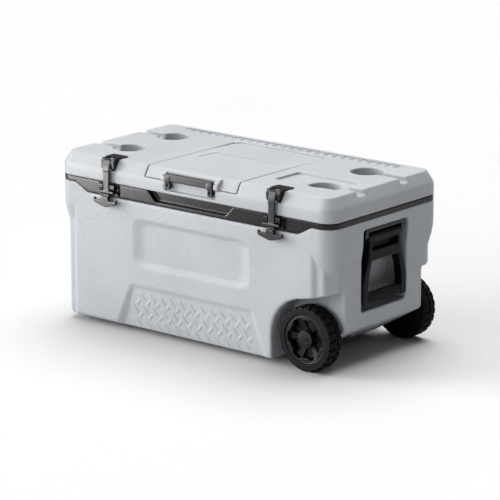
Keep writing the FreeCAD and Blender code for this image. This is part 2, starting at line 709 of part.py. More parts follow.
def hub_cap():
    """Snap-in cap over the axle end, front wheel."""
    w = WHEEL_W / 2
    return revolve_y([(0, -w - 1), (9, -w - 1), (12, -w), (19, -w), (20, -w + 3),
                      (10, -w + 3), (0, -w + 3)], WHEEL_X, -WHEEL_Y, WHEEL_R)


def body_nodes():
    """Tub shell, foam, liner and rim, each cut to leave room for its neighbours."""
    core = body_core()
    trim = trim_band()
    room = [
        rbox(-HALF_X + FLANGE_IN, -HALF_Y + FLANGE_IN, Z_RIM - FLANGE_T,
             HALF_X - FLANGE_IN, HALF_Y - FLANGE_IN, Z_RIM + 5, CORNER_R - 15),
        box(-GRIP_TOP, -HALF_Y - 1, GRIP_Z0, GRIP_TOP, -HALF_Y + GRIP_DEEP, Z_RIM + 1),
        chamber(LINER),
        spout_room(),
    ]
    axle_room = cyl_y(WHEEL_X, -300, 300, WHEEL_R, AXLE_R + RUN)
    return {
        "outer_shell": less(body_outer(), [core, trim] + room),
        "body_insulation": less(core, [chamber(LINER), spout_room(), axle_room]),
        "inner_liner": liner_parts(),
        "rim_trim": trim,
        "axle": cyl_y(WHEEL_X, -WHEEL_Y - 15, WHEEL_Y + 15, WHEEL_R, AXLE_R),
    }


# ---- drain and feet ------------------------------------------------------------------

def spout_room():
    """Hole for the drain tube through the foam and the skin."""
    return cyl_x(CH_SHELF_X - 20, SPOUT_WALL_X + 1, SPOUT_Y, SPOUT_Z, SPOUT_R)


def drain_spout():
    """Tube from the chamber to the outside, with a collar on the wall."""
    tube = cyl_x(CH_SHELF_X - 3, SPOUT_WALL_X + 14, SPOUT_Y, SPOUT_Z, SPOUT_R)
    collar = cyl_x(SPOUT_WALL_X, SPOUT_WALL_X + 3, SPOUT_Y, SPOUT_Z, 15.0)
    return less(join([tube, collar]), [cyl_x(0, 400, SPOUT_Y, SPOUT_Z, 6.5)])


def drain_washer():
    ring = cyl_x(SPOUT_WALL_X + 3.05, SPOUT_WALL_X + 5, SPOUT_Y, SPOUT_Z, 11.0)
    return ring.cut(cyl_x(290, 320, SPOUT_Y, SPOUT_Z, SPOUT_R))


def drain_cap():
    """Fluted cap with a small round button, hollow over the end of the tube."""
    cap = join([cyl_x(SPOUT_WALL_X + 5.2, SPOUT_WALL_X + 20, SPOUT_Y, SPOUT_Z, 12.0),
                cyl_x(SPOUT_WALL_X + 20, SPOUT_WALL_X + 26, SPOUT_Y, SPOUT_Z, 7.0)])
    tools = [cyl_x(290, SPOUT_WALL_X + 14.4, SPOUT_Y, SPOUT_Z, SPOUT_R + RUN)]
    for i in range(8):
        a = math.radians(45 * i)
        tools.append(cyl_x(SPOUT_WALL_X + 5, SPOUT_WALL_X + 21,
                           SPOUT_Y + 13 * math.cos(a), SPOUT_Z + 13 * math.sin(a), 2.6))
    return less(cap, tools)


def drain_nodes():
    return {"drain_spout": drain_spout(), "drain_washer": drain_washer(),
            "drain_cap": drain_cap()}


def foot_nodes():
    nodes = {}
    for name, s in (("front", -1), ("back", 1)):
        nodes["foot_" + name] = rbox(FOOT_X - 32, s * FOOT_Y - 20, 0,
                                     FOOT_X + 32, s * FOOT_Y + 20, Z_FLOOR, 10)
    return nodes


# ---- left and right sets -------------------------------------------------------------

def latch_nodes(name, s):
    """Keeper, strap, bracket and pin of one T latch."""
    xc = s * LATCH_X
    holes = [cyl((xc + a, -150, 326), (0, -1, 0), 1.75, 80) for a in (-27, 27)]
    return {
        "latch_keeper_" + name: less(keeper(xc), holes),
        "latch_strap_" + name: strap(xc),
        "latch_mount_" + name: latch_mount(xc),
        "latch_pin_" + name: cyl_x(xc - 18.5, xc + 18.5, PIVOT_Y, PIVOT_Z, PIVOT_R),
    }


def hinge_nodes(name, s):
    xc = s * HINGE_X
    return {
        "hinge_base_" + name: hinge_base(xc),
        "hinge_leaf_" + name: hinge_leaf(xc),
        "hinge_pin_" + name: cyl_x(xc - 46, xc + 46, HINGE_Y, HINGE_Z, HINGE_PIN_R),
    }


def handle_nodes(name, s):
    """Handle, sleeve, bracket and pin, made for the wheel end and mirrored for the other."""
    made = {
        "carry_handle_" + name: handle(),
        "handle_grip_" + name: handle_sleeve(),
        "handle_mount_" + name: handle_mount(),
        "handle_pin_" + name: cyl_y(HAN_X, -71, 71, HAN_Z, PIN_R),
    }
    if s < 0:
        made = {key: mirror_x(shape) for key, shape in made.items()}
    return made


def side_nodes():
    nodes = {}
    for name, s in (("left", -1), ("right", 1)):
        nodes.update(latch_nodes(name, s))
        nodes.update(hinge_nodes(name, s))
        nodes.update(handle_nodes(name, s))
    return nodes


def make_parts():
    """Every node of the tub, latches and handles as a name and a solid."""
    nodes = body_nodes()
    nodes.update(drain_nodes())
    nodes.update(foot_nodes())
    nodes.update(side_nodes())
    return nodes


def lid_nodes(nodes):
    """Nodes of the lid, hatch and hatch latch."""
    block = lid_outer()
    core = lid_core()
    liner = lid_liner()
    seal = gasket(372, 168, 24, Z_RIM + 0.05, Z_RIM + 3.0, 6)
    groove = gasket(372, 168, 24, Z_RIM - 1, Z_RIM + 3.0, 6)
    hatch_seal = gasket(125, 132, 18, 374.9, HATCH_Z0 - 0.05, 5)
    hatch_seal.translate(V(0, -25, 0))
    seal_groove = gasket(125, 132, 18, 374.9, HATCH_Z0 + 2, 5)
    seal_groove.translate(V(0, -25, 0))
    nodes["lid_shell"] = less(block, [core, liner, seal_groove])
    nodes["lid_insulation"] = less(core, [liner, box(-400, -200, 340, 400, 200,
                                                     Z_RIM + LID_GAP + LINER)])
    nodes["lid_liner"] = less(liner, [groove])
    nodes["lid_gasket"] = seal
    nodes["hatch_gasket"] = hatch_seal
    hatch = hatch_outer()
    nodes["hatch_shell"] = less(hatch, [hatch_core()])
    nodes["hatch_liner"] = hatch_liner()
    nodes["hatch_insulation"] = hatch_foam()
    nodes["hatch_hinge_pin"] = cyl_x(-137, 137, HH_Y, HH_Z, HH_PIN_R)
    nodes["hatch_latch"] = bail()
    nodes["hatch_latch_pin"] = cyl_x(-BAIL_X - 8.5, BAIL_X + 8.5, BAIL_Y, BAIL_Z, 2.0)
    for name, s in (("left", -1), ("right", 1)):
        x0 = min(s * 57, s * 68)
        x1 = max(s * 57, s * 68)
        nodes["hatch_keeper_" + name] = box(x0, -198.6, 365, x1, -HALF_Y + 7.5, 371)
    return nodes


def screw_nodes(nodes):
    """Screw sets, each one node of separate screws, and the holes they sit in."""
    sets = {"keeper_screws": [], "hinge_screws": [], "mount_screws": []}
    for s in (-1, 1):
        for a in (-27, 27):
            sets["keeper_screws"].append(
                screw((s * LATCH_X + a, -HALF_Y - 3, 326), (0, -1, 0), 3.5, 8))
        for a in (-32, 32):
            for z in (300, 318):
                sets["hinge_screws"].append(
                    screw((s * HINGE_X + a, HALF_Y + 4, z), (0, 1, 0), 4.0, 9))
        for y in (-40, 40):
            sets["mount_screws"].append(
                screw((s * (REC_X + 6), y, 288), (s, 0, 0), 4.0, 9))
    for name, parts in sets.items():
        shape = Part.Compound(parts)
        nodes[name] = shape
        for other in list(nodes):
            if other == name or other.endswith("_screws"):
                continue
            if other in ("outer_shell", "rim_trim", "body_insulation") or \
                    other.startswith(("latch_keeper", "hinge_base", "handle_mount")):
                nodes[other] = less(nodes[other], parts)
    return nodes


def wheel_nodes(nodes):
    """Both wheels with bearings and axle hardware."""
    made = {"tyre": tyre(), "rim": rim(), "bush": bush(), "hub_cap": hub_cap()}
    spacer = cyl_y(WHEEL_X, -WHEEL_Y + WHEEL_W / 2 + 0.1, -WELL_Y, WHEEL_R, 12)
    made["axle_spacer"] = spacer.cut(cyl_y(WHEEL_X, -240, -100, WHEEL_R, AXLE_R))
    for name, shape in made.items():
        nodes[name + "_front"] = shape
        nodes[name + "_back"] = mirror_y(shape)
    return nodes


os.makedirs("parts", exist_ok=True)
all_nodes = wheel_nodes(screw_nodes(lid_nodes(make_parts())))
for node, solid in all_nodes.items():
    print(node, len(solid.Solids), solid.isValid(), round(solid.Volume / 1000.0, 2))
    solid.exportStep("parts/" + node + ".step")
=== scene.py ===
# %% [markdown]
# # A wheeled cooler, dressed on its own CAD frame
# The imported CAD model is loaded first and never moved. Everything drawn here is
# placed from it and rides on one of its bodies, so that the lid, the hatch, the
# wheels, the handles and the latches still open and turn.

# %% Load the frame
import json
import math

import bpy
import numpy as np
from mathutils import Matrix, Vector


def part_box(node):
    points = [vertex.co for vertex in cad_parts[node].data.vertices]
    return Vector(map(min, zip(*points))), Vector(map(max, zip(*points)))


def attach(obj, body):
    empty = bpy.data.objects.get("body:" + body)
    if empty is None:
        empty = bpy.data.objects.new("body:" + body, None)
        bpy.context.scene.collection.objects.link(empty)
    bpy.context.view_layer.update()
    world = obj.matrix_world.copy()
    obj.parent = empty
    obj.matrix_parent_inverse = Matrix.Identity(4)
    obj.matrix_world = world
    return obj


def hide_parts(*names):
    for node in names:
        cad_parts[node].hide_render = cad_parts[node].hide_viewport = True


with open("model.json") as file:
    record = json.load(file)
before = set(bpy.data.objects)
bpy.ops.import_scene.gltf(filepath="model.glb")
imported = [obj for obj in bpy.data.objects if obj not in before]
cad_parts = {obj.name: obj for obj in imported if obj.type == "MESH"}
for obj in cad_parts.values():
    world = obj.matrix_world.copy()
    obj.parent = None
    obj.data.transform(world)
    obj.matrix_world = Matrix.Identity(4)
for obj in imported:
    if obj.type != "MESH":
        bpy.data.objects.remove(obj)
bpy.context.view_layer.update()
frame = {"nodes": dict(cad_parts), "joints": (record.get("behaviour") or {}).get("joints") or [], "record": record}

import openvdb
from mathutils import Quaternion, Vector

joints = {j["name"]: j for j in frame["joints"]}

# %% [markdown]
# ## Camera
# The object is seen from its front right, a little above the lid. A long lens from
# far away keeps the upright edges almost parallel, as in a catalogue picture.

# %% Camera
scene = bpy.context.scene
azimuth, elevation, roll = math.radians(39.70), math.radians(14.62), math.radians(-0.12)
right = Vector((math.cos(azimuth), math.sin(azimuth), 0))
back = Vector((math.sin(azimuth) * math.cos(elevation),
               -math.cos(azimuth) * math.cos(elevation), math.sin(elevation)))
target = right * 0.0078 + Vector((0, 0, 0.187))
camera = bpy.data.objects.new("camera", bpy.data.cameras.new("camera"))
scene.collection.objects.link(camera)
camera.data.lens = 213.4
camera.data.clip_end = 50
camera.location = target + back * 6.8947
camera.rotation_mode = "QUATERNION"
camera.rotation_quaternion = Quaternion(back, roll) @ (-back).to_track_quat("-Z", "Y")
scene.camera = camera
print("camera at", [round(v, 3) for v in camera.location])

# %% [markdown]
# ## Studio
# A pale table under a broad overhead light, which leans from behind so that the lid's top
# is lighter than its bevel. A window-like light far to the left rakes along the front, so
# that shallow recesses show one dark and one bright wall, and a weak fill opens the
# shadows. A soft box near the left end is kept out of diffuse light: it turns the near
# end of the glossy black rim grey and hardly touches the matt body.

# %% Floor, surround and lights
scene.view_settings.view_transform = "Standard"
floor_mesh = bpy.data.meshes.new("floor")
floor_mesh.from_pydata([(-9, -9, 0), (9, -9, 0), (9, 9, 0), (-9, 9, 0)], [], [(0, 1, 2, 3)])
floor = bpy.data.objects.new("floor", floor_mesh)
scene.collection.objects.link(floor)

world = bpy.data.worlds.new("surround")
scene.world = world
world.use_nodes = True
world.node_tree.nodes["Background"].inputs["Color"].default_value = (1, 1, 1, 1)
world.node_tree.nodes["Background"].inputs["Strength"].default_value = 0.15


def lamp(name, kind, place, aim, energy, **settings):
    """A lamp at place, turned to face aim, with its other settings by name."""
    light = bpy.data.lights.new(name, kind)
    light.energy = energy
    for key, value in settings.items():
        setattr(light, key, value)
    holder = bpy.data.objects.new(name, light)
    holder.location = place
    holder.rotation_mode = "QUATERNION"
    holder.rotation_quaternion = (Vector(aim) - Vector(place)).to_track_quat("-Z", "Y")
    scene.collection.objects.link(holder)
    return holder


middle = (0, 0, 0.2)
lamp("overhead", "SUN", (-0.5, 1.2, 3.4), middle, 4.3, angle=math.radians(60))
lamp("left_window", "SUN", (-4.2, -2.4, 2.0), middle, 2.9, angle=math.radians(36))
lamp("front_fill", "SUN", (-0.8, -4.0, 1.4), middle, 1.45, angle=math.radians(40))
left_box = lamp("left_box", "AREA", (-1.05, -0.85, 0.34), (-0.42, -0.2, 0.34), 15.0,
                shape="RECTANGLE", size=0.6, size_y=0.5)
left_box.visible_diffuse = False

# %% [markdown]
# ## Colour and node helpers
# Colours are written as the sRGB hex values that a paint chart would give. Blender
# works in linear light, so one function turns them. A second one adds a shader node,
# sets its options and joins its sockets, so that a material reads as a short list.

# %% Helpers for materials


def linear(hex_colour):
    """sRGB hex text to a linear RGBA tuple."""
    parts = [int(hex_colour[i:i + 2], 16) / 255 for i in (1, 3, 5)]
    turned = [c / 12.92 if c <= 0.04045 else ((c + 0.055) / 1.055) ** 2.4 for c in parts]
    return (*turned, 1.0)


def add(tree, kind, options=None, values=None, links=None):
    """Adds a node: options are its properties, values fill sockets, links join sockets."""
    new = tree.nodes.new(kind)
    for key, value in (options or {}).items():
        setattr(new, key, value)
    for key, value in (values or {}).items():
        new.inputs[key].default_value = value
    for key, (other, socket) in (links or {}).items():
        tree.links.new(other.outputs[socket], new.inputs[key])
    return new


def moulded(name, low, high, rough, ior, grain_mm, grain_depth_mm, mottle_mm, gloss_swing=0.05,
            metallic=0.0, stretch=(1, 1, 1), glint=0.5):
    """A moulded surface: two close shades, a grain of a real size, and uneven gloss."""
    material = bpy.data.materials.new(name)
    material.use_nodes = True
    tree = material.node_tree
    shader = tree.nodes["Principled BSDF"]
    shader.inputs["IOR"].default_value = ior
    shader.inputs["Metallic"].default_value = metallic
    shader.inputs["Specular IOR Level"].default_value = glint
    place = add(tree, "ShaderNodeTexCoord")
    spread = add(tree, "ShaderNodeMapping", values={"Scale": stretch},
                 links={"Vector": (place, "Object")})
    clouds = add(tree, "ShaderNodeTexNoise", values={"Scale": 1000 / mottle_mm, "Detail": 3.0},
                 links={"Vector": (spread, "Vector")})
    shade = add(tree, "ShaderNodeValToRGB", links={"Fac": (clouds, "Fac")})
    shade.color_ramp.elements[0].position = 0.35
    shade.color_ramp.elements[1].position = 0.65
    shade.color_ramp.elements[0].color = linear(low)
    shade.color_ramp.elements[1].color = linear(high)
    tree.links.new(shade.outputs["Color"], shader.inputs["Base Color"])
    pebble = add(tree, "ShaderNodeTexNoise", values={"Scale": 1000 / grain_mm, "Detail": 2.0},
                 links={"Vector": (spread, "Vector")})
    gloss = add(tree, "ShaderNodeMapRange", values={"To Min": rough - gloss_swing,
                                                    "To Max": rough + gloss_swing},
                links={"Value": (pebble, "Fac")})
    tree.links.new(gloss.outputs["Result"], shader.inputs["Roughness"])
    relief = add(tree, "ShaderNodeBump", values={"Strength": 1.0,
                                                 "Distance": grain_depth_mm / 1000},
                 links={"Height": (pebble, "Fac")})
    tree.links.new(relief.outputs["Normal"], shader.inputs["Normal"])
    return material


# %% [markdown]
# ## Plastics, rubbers and metal
# A cooler body is rotomoulded polyethylene: powder melts against the inside of a hot,
# slowly turning mould. That gives soft edges, a waxy sheen and the fine pebble of the
# blasted mould. The real pebble is about 1 mm, and it is drawn at 5 to 6 mm so that
# it still shows from where the camera stands. The black parts are so dark that most of
# what the eye sees on them is reflection, so their specular level is turned down.

# %% Materials
# Waxy and matt, with a coarse pebble that breaks up the highlight.
shell_polyethylene = moulded("rotomoulded_polyethylene_grey", "#9EA2A7", "#A5A9AE",
                             0.52, 1.51, 6.0, 1.0, 160, glint=0.3)
# The same plastic from a smoother mould: a little more sheen on the flat top.
lid_polyethylene = moulded("rotomoulded_polyethylene_lid", "#9B9EA2", "#A1A4A8",
                           0.46, 1.51, 5.0, 0.45, 190, glint=0.35)
# Paler and smoother, so that the inside looks clean and wipes dry.
liner_polyethylene = moulded("liner_polyethylene_white", "#B9BCC0", "#C0C3C6",
                             0.42, 1.51, 3.0, 0.15, 150)
# Polished mould: the glossiest black, with a long grey reflection along the rim.
rim_nylon = moulded("moulded_nylon_black", "#0A0A0B", "#0E0E0F", 0.27, 1.53, 1.6, 0.04, 60,
                    glint=0.25)
# Spark-textured nylon: a dead black that hides scratches.
handle_nylon = moulded("moulded_nylon_black_handle", "#070708", "#0B0B0C", 0.42, 1.53,
                       1.8, 0.10, 50, glint=0.1)
# Dense moulded rubber: satin, with soft-edged highlights.
latch_rubber = moulded("moulded_rubber_black", "#0D0D0D", "#121212", 0.33, 1.52, 1.4, 0.06, 30,
                       glint=0.4)
# Soft rubber: almost no shine at all.
grip_rubber = moulded("soft_grip_rubber_black", "#080808", "#0C0C0C", 0.60, 1.52, 1.6, 0.15, 30,
                      glint=0.12)
# Tyre rubber: the roughest of the blacks, so it is mostly the tread edges that show.
tyre_rubber = moulded("tyre_rubber_black", "#08080A", "#0D0D0E", 0.62, 1.52, 2.0, 0.20, 40,
                      glint=0.12)
# Moulded polypropylene: a touch lighter and smoother than the tyre round it.
rim_plastic = moulded("wheel_polypropylene_black", "#0B0C0D", "#101112", 0.42, 1.49,
                      1.8, 0.06, 50, glint=0.2)
# Acetal: hard, smooth and slippery, with a small clear highlight.
bearing_acetal = moulded("bearing_acetal_dark", "#26272A", "#2C2D30", 0.35, 1.48, 2.0, 0.03, 30)
# Silicone seal: an even grey line round the openings.
seal_rubber = moulded("seal_silicone_grey", "#5A5C60", "#626468", 0.55, 1.43, 1.5, 0.05, 30)
# Foam that fills the walls: chalky and pitted. The skins and liners cover it.
foam_core = moulded("polyurethane_foam_cream", "#D8CFA6", "#E0D8B2", 0.85, 1.50, 2.5, 0.60, 40)
# Blackened steel rod: the grain is squeezed in height, so fine lines run along the pins.
screw_steel = moulded("black_oxide_steel", "#2C2D2F", "#38393B", 0.40, 1.50,
                      0.8, 0.02, 12, 0.08, 1.0, (1, 1, 6))
# Matt board: next to no shine, so that the soft shadow is what shows.
table_white = moulded("matt_white_table", "#BDBDBD", "#BFBFBF", 0.9, 1.45, 5.0, 0.01, 900)
floor.data.materials.append(table_white)
print("materials:", sorted(m.name for m in bpy.data.materials if m.use_nodes))

# %% [markdown]
# ## Finishes for the CAD nodes that stay
# Every CAD node gets a finish here, and the record says which slot it belongs to. The
# nodes that are not drawn again below, such as pins, screws, hinges, brackets, keepers,
# feet and the drain, already have their true shape.

# %% Give every CAD node its material
finish_of = {"shell_plastic": shell_polyethylene, "lid_plastic": lid_polyethylene,
             "liner_plastic": liner_polyethylene, "foam": foam_core, "black_plastic": rim_nylon,
             "latch_rubber": latch_rubber, "soft_rubber": grip_rubber, "tyre": tyre_rubber,
             "rim_plastic": rim_plastic, "bearing_plastic": bearing_acetal, "steel": screw_steel}
slot_of = {part["node"]: part.get("material_slot") for part in frame["record"]["subparts"]}
for name, node in frame["nodes"].items():
    finish = finish_of.get(slot_of.get(name), rim_nylon)
    if name.endswith("gasket"):
        finish = seal_rubber
    node.data.materials.clear()
    node.data.materials.append(finish)
print("CAD nodes dressed:", len(frame["nodes"]))

# %% [markdown]
# ## Shapes from distance fields
# Moulded plastic has no sharp edge anywhere. Instead of modelling sharp blocks and
# bevelling them afterwards, each piece is described by its distance field: a grid of
# numbers that say how far each point is from the surface, negative inside. Two fields
# are joined or cut with one line, and that line also rounds the edge between them by
# an exact radius. OpenVDB, the volume library inside Blender, turns the field into a
# mesh, and the field's own slope gives the shading normals. Lengths here are in mm.

# %% Field helpers


def lattice(low, high, step):
    """Coordinate arrays of a box of sample points, two samples wider on each side."""
    axes = []
    for axis in range(3):
        count = int(math.ceil((high[axis] - low[axis]) / step)) + 5
        line = (low[axis] - 2 * step + np.arange(count) * step).astype(np.float32)
        shape = [1, 1, 1]
        shape[axis] = count
        axes.append(line.reshape(shape))
    return axes


def both(a, b, r=0.0):
    """Where both shapes are, with a convex edge of radius r."""
    if r <= 0:
        return np.maximum(a, b)
    return np.minimum(np.maximum(a, b), -r) + np.hypot(np.maximum(a + r, 0), np.maximum(b + r, 0))


def less(a, b, r=0.0):
    """The first shape with the second cut away, the new edge rounded by r."""
    return both(a, -b, r)


def either(a, b, r=0.0):
    """Where either shape is, with a fillet of radius r in the corner between them."""
    return -both(-a, -b, r)


def span(v, low, high):
    """Slab between two values of one coordinate."""
    return np.abs(v - (low + high) / 2) - (high - low) / 2


def round_rect(u, v, half_u, half_v, r):
    """Rectangle in two coordinates with corner radius r."""
    du = np.abs(u) - (half_u - r)
    dv = np.abs(v) - (half_v - r)
    return np.hypot(np.maximum(du, 0), np.maximum(dv, 0)) + np.minimum(np.maximum(du, dv), 0) - r


def line(u, v, p, q, inside):
    """Distance from the line through p and q, negative on the side of the point inside."""
    run, climb = q[0] - p[0], q[1] - p[1]
    length = math.hypot(run, climb)
    if run * (inside[1] - p[1]) > climb * (inside[0] - p[0]):
        length = -length
    return (run * (v - p[1]) - climb * (u - p[0])) / length


def convex(u, v, points, r=0.0):
    """Convex polygon in two coordinates, its corners rounded by r."""
    middle = [sum(p[i] for p in points) / len(points) for i in (0, 1)]
    shape = line(u, v, points[-1], points[0], middle)
    for p, q in zip(points, points[1:]):
        shape = both(shape, line(u, v, p, q, middle), r)
    return shape


def plane(a, b, c, inside):
    """Distance from the plane through three points, negative at the point inside."""
    normal = (Vector(b) - Vector(a)).cross(Vector(c) - Vector(a)).normalized()
    if normal.dot(Vector(inside) - Vector(a)) > 0:
        normal.negate()
    return (ax - a[0]) * normal[0] + (ay - a[1]) * normal[1] + (z - a[2]) * normal[2]


def slope_at(field, where):
    """Unit slope of the field at fractional grid places."""
    out = np.empty(where.shape, np.float32)
    base = np.clip(np.floor(where).astype(int), 1, np.array(field.shape) - 3)
    part = where - base
    for axis in range(3):
        total = np.zeros(len(where), np.float32)
        for corner in np.ndindex(2, 2, 2):
            at = base + corner
            weight = np.prod(np.where(corner, part, 1 - part), axis=1)
            up, down = at.copy(), at.copy()
            up[:, axis] += 1
            down[:, axis] -= 1
            total += weight * (field[tuple(up.T)] - field[tuple(down.T)])
        out[:, axis] = total
    return out / np.maximum(np.linalg.norm(out, axis=1, keepdims=True), 1e-6)


def skin(name, field, low, step, body, material, stands_for=(), fine=1e-4):
    """Turns a field into a smooth mesh piece that rides on a body."""
    band = 3.0 * step
    grid = openvdb.FloatGrid(background=band)
    grid.copyFromArray(np.ascontiguousarray(np.clip(field, -band, band), np.float32))
    points, threes, fours = grid.convertToPolygons(0.0, fine)
    places = (points - 2) * step + np.array(low)
    mesh = bpy.data.meshes.new(name)
    mesh.vertices.add(len(points))
    mesh.vertices.foreach_set("co", (places / 1000).astype(np.float32).ravel())
    loops = np.concatenate([threes.ravel(), fours.ravel()]).astype(np.int32)
    sizes = np.concatenate([np.full(len(threes), 3), np.full(len(fours), 4)]).astype(np.int32)
    mesh.loops.add(len(loops))
    mesh.loops.foreach_set("vertex_index", loops)
    mesh.polygons.add(len(sizes))
    mesh.polygons.foreach_set("loop_start", (np.cumsum(sizes) - sizes).astype(np.int32))
    mesh.update(calc_edges=True)
    mesh.validate()
    mesh.shade_smooth()
    mesh.normals_split_custom_set_from_vertices(slope_at(field, points).tolist())
    mesh.materials.append(material)
    piece = bpy.data.objects.new(name, mesh)
    scene.collection.objects.link(piece)
    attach(piece, body)
    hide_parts(*stands_for)
    print(f"{name}: {len(mesh.polygons)} faces")
    return piece


# %% [markdown]
# ## Driving sizes
# The few lengths that several pieces share are read from the CAD boxes, so that the
# drawn pieces and the solids behind them cannot drift apart.

# %% Sizes in mm
def mm(node):
    low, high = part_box(node)
    return [v * 1000 for v in low], [v * 1000 for v in high]


rim_low, rim_high = mm("rim_trim")
lid_low, lid_high = mm("lid_shell")
HALF_X, HALF_Y = rim_high[0], -rim_low[1]
RIM_TOP, LID_TOP, LID_UNDER = rim_high[2], lid_high[2], lid_low[2]
CORNER = 37.0
SIDE_TOP, BEVEL_IN = 376.0, 17.0
WHEEL_X, WHEEL_Y, WHEEL_Z = [v * 1000 for v in joints["wheel_front_spin"]["pos_m"]]
print("half length", HALF_X, "half depth", HALF_Y, "rim", RIM_TOP, "lid", LID_UNDER, LID_TOP)

# %% [markdown]
# ## Body shell
# The tub's outside is one rotomoulded skin. Its cut corners, wheel arches, handle
# pockets and the sunk front panel all come from the mould, so they all flow into each
# other with radii of 3 to 6 mm. A box with bevels would need every one of those edges
# picked by hand. With fields each feature is one cut with its own radius.

# %% Body field
body_step = 2.0
body_low = (-HALF_X, -HALF_Y, 12.0)
x, y, z = lattice(body_low, (HALF_X, HALF_Y, RIM_TOP), body_step)
ax, ay = np.abs(x), np.abs(y)
outline = round_rect(x, y, HALF_X, HALF_Y, CORNER)
ledge = 264.0
cut_corner = both(both(ay - 193.5, line(ax, ay, (380.5, 193.5), (401, 160), (0, 0)), 5),
                  ax - 401, 5)
front_plan = both(ay - HALF_Y, line(ax, ay, (363, 193.5), (353, HALF_Y), (0, 0)), 3)
low_plan = either(np.maximum(front_plan, ax - 366), cut_corner, 3)
toe = line(x, z, (-401, 32), (-380, 12), (0, 100))
hem = line(ay, z, (195.5, 12), (HALF_Y, 18), (0, 100))
belly = line(x, z, (268, 12), (HALF_X, 93), (0, 200))
tub = both(both(both(low_plan, 12 - z, 4), toe, 8), hem, 3)
tub = both(tub, belly, 6)
under = line(outline, z, (0, ledge + 8), (-7.5, ledge - 19), (-100, 400))
under = np.maximum(under, 230 - z)
tub = np.minimum(tub, both(outline, under, 5))
print("body grid", tub.shape)

# %% [markdown]
# ### Wheel wells, handle pockets, panel and tread
# The wells are an arch round each wheel that opens towards the end. The panel's walls
# are gentle slopes, and the tread field below it is a trapezoid with steep sides.

# %% Cuts in the body
arch = np.hypot(x - WHEEL_X, z - WHEEL_Z) - 92.0
roof = convex(x, z, [(237.5, -60), (237.5, 75), (261.5, 135), (292.5, 159), (460, 201),
                     (460, -60)], 6)
tub = less(tub, both(either(arch, roof, 4), 143.0 - ay, 6), 5)
pocket = both(round_rect(y, z - 219, 82, 95, 8), 352 - ax, 6)
tub = less(tub, pocket, 4)
rise = np.abs(z - 219)
panel_walls = [line(ax, ay, (150, 196), (173, HALF_Y), (0, 300)),
               line(rise, ay, (47.5, 196), (56, HALF_Y), (0, 300))]
panel = both(both(*panel_walls, 8), 195.5 - ay, 2)
panel = both(panel, round_rect(x, z - 219, 174, 57, 20), 2)
tub = less(tub, panel, 1.5)
tread_side = plane((233, HALF_Y, 5), (184, HALF_Y, 115), (215, 193.5, 5), (0, 300, 5))
tread_top = line(z, ay, (109, 197.3), (118, HALF_Y), (0, 300))
tread_floor = line(z, ay, (115, 197.5), (12, 192.5), (60, 300))
tub = less(tub, both(both(tread_side, tread_top, 2), tread_floor, 1), 1.2)
tub = less(tub, both(both(300 - x, span(y, -52, -8), 3), z - 68, 3), 3)
print("body cuts done")

# %% [markdown]
# ### Diamond plate
# The foot grip is a diamond plate pattern: lens-shaped ribs that lean left and right
# in turn. Each rib is a stretched ball, half sunk in the sloping floor of the field, and
# is only worked out in the small block of the grid round it.

# %% Tread ribs


def rib(field, cx, cz, lean, half_long, height, side):
    """Adds one lens-shaped rib to the field at (cx, cz) on the front or back."""
    reach = half_long + 4
    i0, i1 = np.searchsorted(x.ravel(), (cx - reach, cx + reach))
    k0, k1 = np.searchsorted(z.ravel(), (cz - reach, cz + reach))
    j0, j1 = np.searchsorted(y.ravel(), (min(side * 188, side * 202), max(side * 188, side * 202)))
    bx, by, bz = x[i0:i1], y[:, j0:j1], z[:, :, k0:k1]
    along = (bx - cx) * math.cos(lean) + (bz - cz) * math.sin(lean)
    across = (bz - cz) * math.cos(lean) - (bx - cx) * math.sin(lean)
    out = side * by - 192.5 - (bz - 12) * 5 / 103
    size = np.sqrt((along / half_long) ** 2 + (across / 3.3) ** 2 + (out / height) ** 2)
    block = field[i0:i1, j0:j1, k0:k1]
    field[i0:i1, j0:j1, k0:k1] = either(block, (size - 1) * height, 0.8)


ribs = 0
for row, level in enumerate((90, 59, 28)):
    for column in range(-8, 9):
        for lean, dx, dz, half_long, height in ((-0.78, 0, 0, 15.0, 2.3),
                                                (0.85, -13.5, -14.5, 9.5, 1.7)):
            cx, cz = column * 30 + 5.5 * row + dx, level + dz
            if abs(cx) < 207 - 0.445 * (cz - 5) - 6 and cz > 20:
                for side in (-1, 1):
                    rib(tub, cx, cz, lean, half_long, height, side)
                ribs += 1
tub = both(tub, 12 - z, 1.5)
print("ribs on each side:", ribs)

# %% [markdown]
# ### Room for the rim, the ice chamber, the axle and the drain
# The black rim sits flush in a rebate, and the liner hangs in the middle.

# %% Finish the body
slanted = np.maximum(line(ax, z, (314, 315), (351, 335), (0, 400)), 314.6 - z)
band = np.maximum(-(outline + 6.2), np.minimum(334.6 - z, np.maximum(slanted, y)))
finger_block = np.maximum(np.maximum(ax - 134.5, 314.6 - z), y + 184)
chamber = either(both(round_rect(x, y, 329, 156, 34), 207 - z, 14),
                 both(round_rect(x + 60, y, 269, 156, 34), 36 - z, 14), 0)
tub = np.maximum(tub, -np.minimum(np.minimum(band, finger_block), chamber))
tub = np.maximum(tub, z - (RIM_TOP - 3))
axle_hole = np.hypot(x - WHEEL_X, z - WHEEL_Z) - 6.2
drain_hole = np.maximum(np.hypot(y + 30, z - 47) - 9.2, 200 - x)
tub = np.maximum(tub, -np.minimum(axle_hole, drain_hole))
skin("body_shell", tub, body_low, body_step, "tub", shell_polyethylene,
     ["outer_shell"])
del tub

# %% [markdown]
# ## Lid shell
# The lid is the same kind of moulding with a bevelled edge. Its top carries four cup
# holders with drain channels, a shallow tray and the well for the hatch. The bevel
# comes from the plan outline itself: the higher up, the further in the edge may be.

# %% Lid field
lid_step = 1.6
lid_base = (-HALF_X, -HALF_Y, LID_UNDER)
x, y, z = lattice(lid_base, (HALF_X, HALF_Y, LID_TOP), lid_step)
ax, ay = np.abs(x), np.abs(y)


